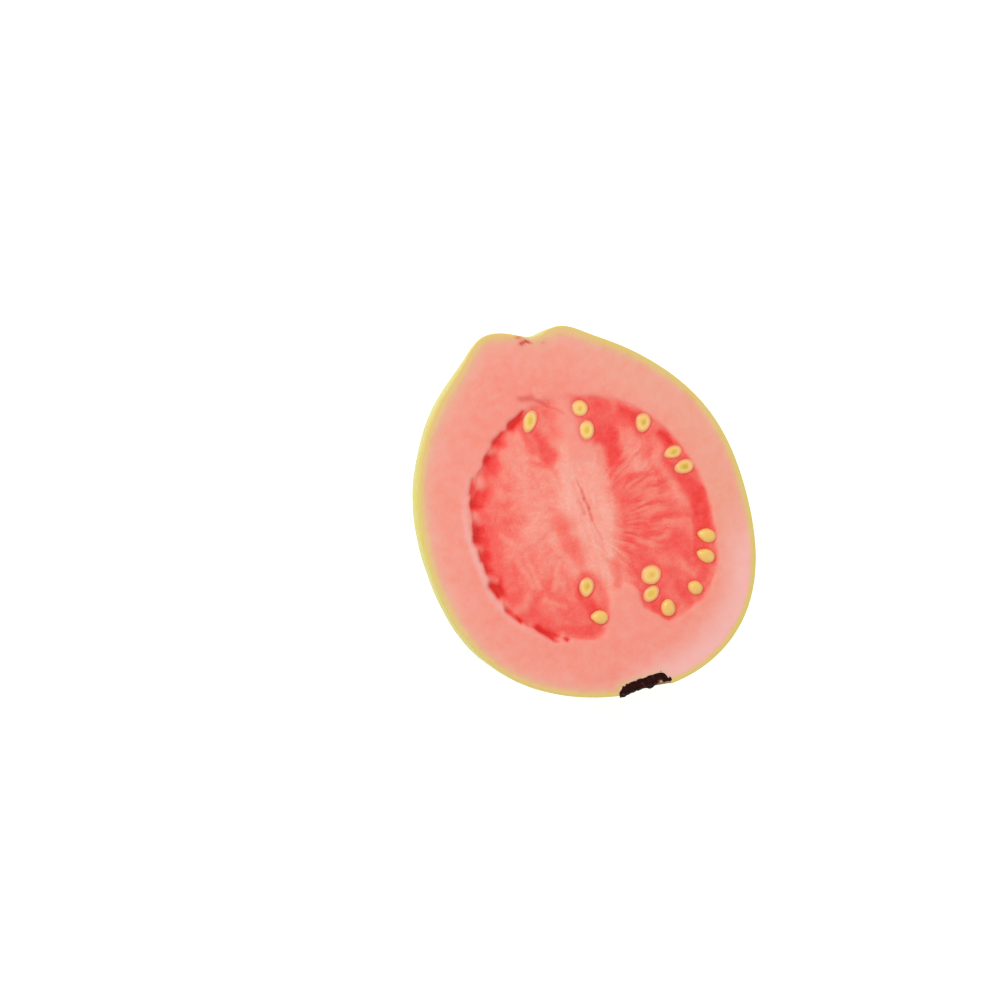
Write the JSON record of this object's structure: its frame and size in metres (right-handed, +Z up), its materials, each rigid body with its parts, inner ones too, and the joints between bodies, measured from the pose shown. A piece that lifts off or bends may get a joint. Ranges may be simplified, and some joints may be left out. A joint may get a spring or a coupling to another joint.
{
  "type": "guava half",
  "caption": "Halved pink guava lying on its skin, cut lengthwise through stem and blossom ends, with flesh ring, sunken pulp, seeds and dry calyx.",
  "frame": {"origin": "middle of the small flat spot on the skin that the half rests on, at the surface", "axes": "+Z up, out of the level cut face; +Y to the stem end; +X to the right of the cut face seen from above with the stem end away"},
  "size_m": [0.0726, 0.0857, 0.0369],
  "materials": {
    "skin": "waxy yellow-green skin, satin, faintly pitted",
    "flesh": "moist salmon-pink flesh, fine grain",
    "seed": "hard cream-yellow seed, wet sheen",
    "calyx": "dry, near-black brown and torn"
  },
  "bodies": {
    "root": {"guava_half": "skin", "calyx": "calyx"}
  },
  "joints": []
}
